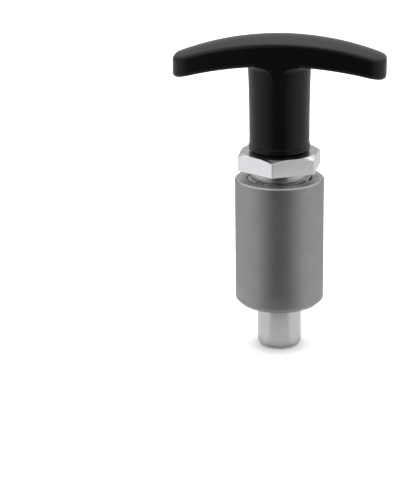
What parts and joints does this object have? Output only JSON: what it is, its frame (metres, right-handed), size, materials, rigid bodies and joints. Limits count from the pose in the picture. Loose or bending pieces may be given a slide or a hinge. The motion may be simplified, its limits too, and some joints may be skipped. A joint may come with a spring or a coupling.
{
  "type": "indexing plunger",
  "caption": "Spring-loaded indexing plunger: T-grip, guide body with hexagon and plain weld-in sleeve; the pin pulls back against its spring and turns.",
  "frame": {"origin": "centre of the pin's flat tip, on the axis", "axes": "+Z along the axis towards the grip; X along the grip's bar"},
  "size_m": [0.0654, 0.028, 0.1004],
  "materials": {
    "plain_steel": "matt phosphated turned steel",
    "zinc_plated_steel": "bright zinc plating",
    "spring_wire": "drawn spring wire, plated",
    "satin_steel": "satin turned and plated steel",
    "insert_brass": "knurled",
    "black_plastic": "moulded thermoplastic with a fine satin grain"
  },
  "bodies": {
    "housing": {"weld_sleeve": "plain_steel", "guide_body": "zinc_plated_steel"},
    "spring_carrier": {"compression_spring": "spring_wire"},
    "plunger": {"plunger_pin": "satin_steel", "grip_insert": "insert_brass", "t_grip": "black_plastic"}
  },
  "joints": [
    {"name": "plunger_slide", "type": "slide", "parent": "housing", "child": "spring_carrier", "axis": [0, 0, 1], "range_m": [0, 0.0145], "stiffness_N_per_m": 2150, "springref_m": -0.0094, "deforming": ["compression_spring"]},
    {"name": "plunger_turn", "type": "hinge", "parent": "spring_carrier", "child": "plunger", "pos_m": [0, 0, 0], "axis": [0, 0, 1], "continuous": true}
  ]
}
